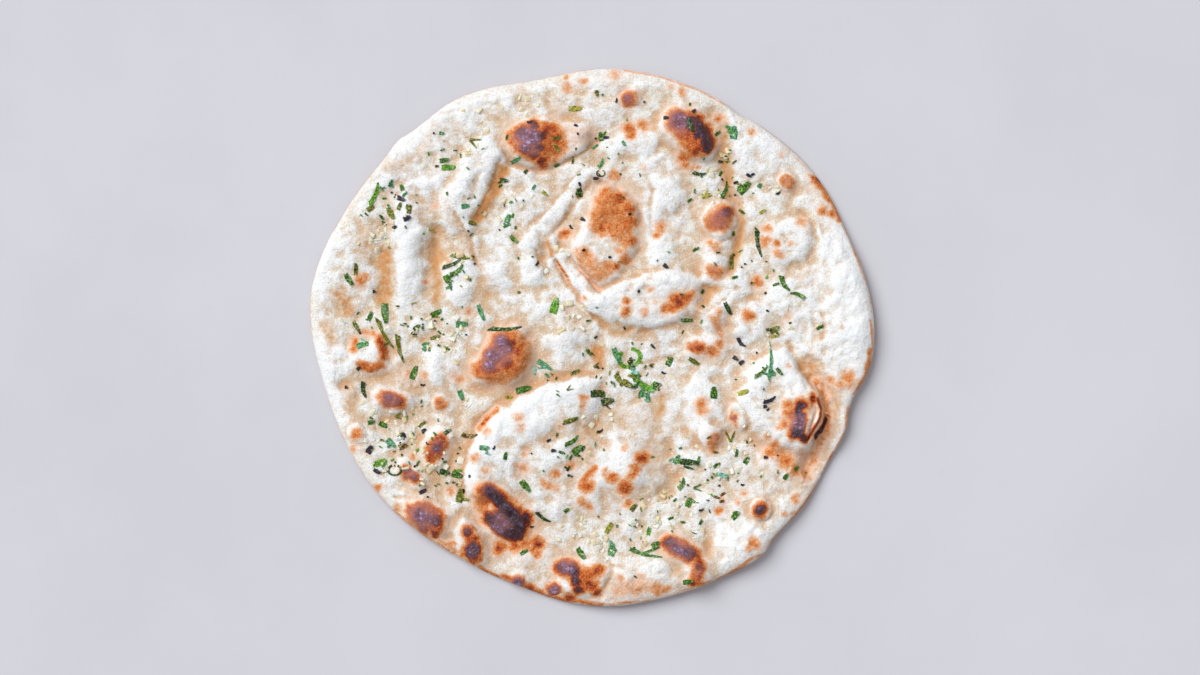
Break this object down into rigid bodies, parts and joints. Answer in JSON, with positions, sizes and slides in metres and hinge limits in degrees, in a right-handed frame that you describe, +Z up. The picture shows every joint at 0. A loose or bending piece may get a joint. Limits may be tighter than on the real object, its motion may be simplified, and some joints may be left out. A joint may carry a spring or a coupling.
{
  "type": "naan bread",
  "caption": "Large round leavened flatbread with hollow steam pockets and charred blisters, topped with chopped coriander and minced garlic.",
  "frame": {"origin": "middle of the underside, at the centre of the bounding box in plan", "axes": "+Z up through the bread, +X along its longest width, +Y across it"},
  "size_m": [0.2831, 0.2693, 0.017],
  "materials": {
    "naan_crust": "matt floury crust, cream with toasted and charred blisters",
    "coriander": "chopped fresh leaf, slightly glossy",
    "garlic": "minced and baked, slightly translucent"
  },
  "bodies": {
    "root": {"naan": "naan_crust"}
  },
  "joints": []
}
